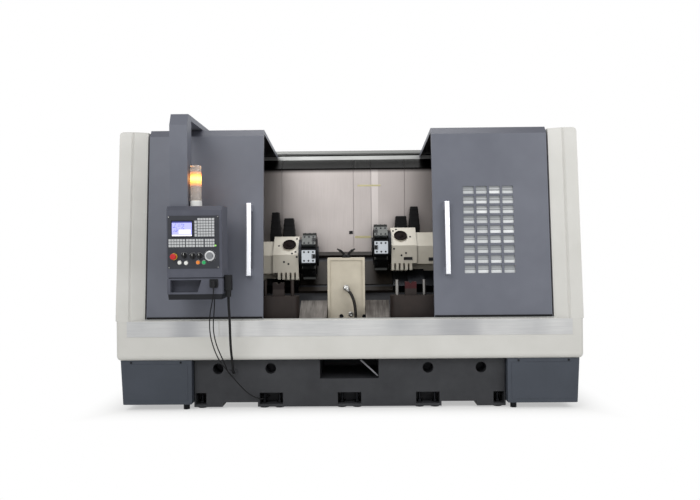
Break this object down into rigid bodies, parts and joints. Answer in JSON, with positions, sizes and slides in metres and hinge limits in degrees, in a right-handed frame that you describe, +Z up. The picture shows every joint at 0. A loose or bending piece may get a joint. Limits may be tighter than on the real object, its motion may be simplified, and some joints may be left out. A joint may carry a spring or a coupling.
{
  "type": "twin turret lathe",
  "caption": "Double-ended slant-bed lathe with facing tool turrets, sliding hood doors, centre unit, pendant control, cream end covers and a dark base casting.",
  "frame": {"origin": "on the floor, under the middle of the machine's box", "axes": "+X to the operator's right along the bed, +Y to the back, +Z up"},
  "size_m": [3.83, 2.3, 2.394],
  "materials": {
    "cream_paint": "satin cream enamel",
    "grey_paint": "satin blue-grey enamel",
    "dark_paint": "satin dark grey enamel",
    "painted_iron": "painted casting",
    "machined_steel": "machined",
    "stainless": "brushed",
    "dark_steel": "blackened steel",
    "turret_cream": "satin cream enamel",
    "black_plastic": "moulded",
    "white_plastic": "moulded",
    "key_plastic": "moulded",
    "red_plastic": "moulded",
    "orange_plastic": "moulded",
    "green_plastic": "moulded",
    "screen_glass": "lit screen",
    "lamp_glass": "clear lens over amber",
    "cord_rubber": "matt",
    "pane_plastic": "translucent sheet"
  },
  "bodies": {
    "frame": {"back_wall": "stainless", "bed_casting": "painted_iron", "centre_unit": "turret_cream", "chip_rod": "machined_steel", "control_face": "dark_paint", "coolant_lines": "black_plastic", "cord_plug": "black_plastic", "door_rails": "machined_steel", "drip_trays": "stainless", "fixed_guards": "grey_paint", "front_apron": "cream_paint", "hand_unit": "black_plastic", "hand_unit_cord": "cord_rubber", "keys": "key_plastic", "lamp_base": "white_plastic", "lamp_lens": "lamp_glass", "left_base_box": "dark_paint", "left_end_cover": "cream_paint", "left_work_rest": "dark_steel", "leveling_feet": "machined_steel", "lower_housing": "grey_paint", "pendant_arm": "grey_paint", "pendant_cabinet": "grey_paint", "pendant_tray": "black_plastic", "plug_cord": "cord_rubber", "rear_cabinet": "cream_paint", "rest_jaws": "red_plastic", "right_base_box": "dark_paint", "right_end_cover": "cream_paint", "right_work_rest": "dark_steel", "screen": "screen_glass", "sill_plate": "stainless", "slide_ways": "machined_steel", "tray_cord": "cord_rubber", "way_cover": "dark_steel"},
    "left_hood": {"left_door": "grey_paint", "left_door_handle": "white_plastic"},
    "right_hood": {"right_door": "grey_paint", "right_door_handle": "white_plastic", "grille_backing": "dark_steel", "grille_pane": "pane_plastic"},
    "left_carriage": {"left_saddle": "dark_steel"},
    "left_cross_slide": {"left_turret_housing": "turret_cream", "left_motor_covers": "black_plastic"},
    "left_turret": {"left_turret_disc": "dark_steel", "left_tool_blocks": "machined_steel"},
    "right_carriage": {"right_saddle": "dark_steel"},
    "right_cross_slide": {"right_turret_housing": "turret_cream", "right_motor_covers": "black_plastic"},
    "right_turret": {"right_turret_disc": "dark_steel", "right_tool_blocks": "machined_steel"},
    "stop_button": {"emergency_stop": "red_plastic"},
    "switch_1": {"rotary_switch_1": "black_plastic"},
    "switch_2": {"rotary_switch_2": "black_plastic"},
    "switch_3": {"rotary_switch_3": "black_plastic"},
    "dial": {"handwheel_dial": "white_plastic"},
    "white_button_1_cap": {"white_button_1": "white_plastic"},
    "white_button_2_cap": {"white_button_2": "white_plastic"},
    "orange_button_cap": {"orange_button": "orange_plastic"},
    "green_button_cap": {"green_button": "green_plastic"}
  },
  "joints": [
    {"name": "left_door_slide", "type": "slide", "parent": "frame", "child": "left_hood", "axis": [1, 0, 0], "range_m": [0, 0.706]},
    {"name": "right_door_slide", "type": "slide", "parent": "frame", "child": "right_hood", "axis": [-1, 0, 0], "range_m": [0, 0.706]},
    {"name": "left_carriage_slide", "type": "slide", "parent": "frame", "child": "left_carriage", "axis": [1, 0, 0], "range_m": [-0.24, 0.09]},
    {"name": "left_cross_feed", "type": "slide", "parent": "left_carriage", "child": "left_cross_slide", "axis": [0, 0.7071, 0.7071], "range_m": [-0.06, 0.1]},
    {"name": "left_turret_index", "type": "hinge", "parent": "left_cross_slide", "child": "left_turret", "pos_m": [0, -0.06017, 1.25917], "axis": [1, 0, 0], "continuous": true},
    {"name": "right_carriage_slide", "type": "slide", "parent": "frame", "child": "right_carriage", "axis": [1, 0, 0], "range_m": [-0.04, 0.24]},
    {"name": "right_cross_feed", "type": "slide", "parent": "right_carriage", "child": "right_cross_slide", "axis": [0, 0.7071, 0.7071], "range_m": [-0.16, 0.01]},
    {"name": "right_turret_index", "type": "hinge", "parent": "right_cross_slide", "child": "right_turret", "pos_m": [0, 0.01478, 1.33412], "axis": [1, 0, 0], "continuous": true},
    {"name": "stop_press", "type": "slide", "parent": "frame", "child": "stop_button", "axis": [0, 1, 0], "range_m": [0, 0.006]},
    {"name": "switch_1_turn", "type": "hinge", "parent": "frame", "child": "switch_1", "pos_m": [-1.25192, -1.114, 1.28703], "axis": [0, -1, 0], "range_deg": [-60, 60]},
    {"name": "switch_2_turn", "type": "hinge", "parent": "frame", "child": "switch_2", "pos_m": [-1.18691, -1.114, 1.28096], "axis": [0, -1, 0], "range_deg": [-60, 60]},
    {"name": "switch_3_turn", "type": "hinge", "parent": "frame", "child": "switch_3", "pos_m": [-1.13411, -1.114, 1.2842], "axis": [0, -1, 0], "range_deg": [-60, 60]},
    {"name": "dial_turn", "type": "hinge", "parent": "frame", "child": "dial", "pos_m": [-1.05413, -1.114, 1.28299], "axis": [0, -1, 0], "continuous": true},
    {"name": "white_button_1_press", "type": "slide", "parent": "frame", "child": "white_button_1_cap", "axis": [0, 1, 0], "range_m": [0, 0.004], "stiffness_N_per_m": 900},
    {"name": "white_button_2_press", "type": "slide", "parent": "frame", "child": "white_button_2_cap", "axis": [0, 1, 0], "range_m": [0, 0.004], "stiffness_N_per_m": 900},
    {"name": "orange_button_press", "type": "slide", "parent": "frame", "child": "orange_button_cap", "axis": [0, 1, 0], "range_m": [0, 0.004], "stiffness_N_per_m": 900},
    {"name": "green_button_press", "type": "slide", "parent": "frame", "child": "green_button_cap", "axis": [0, 1, 0], "range_m": [0, 0.004], "stiffness_N_per_m": 900}
  ]
}
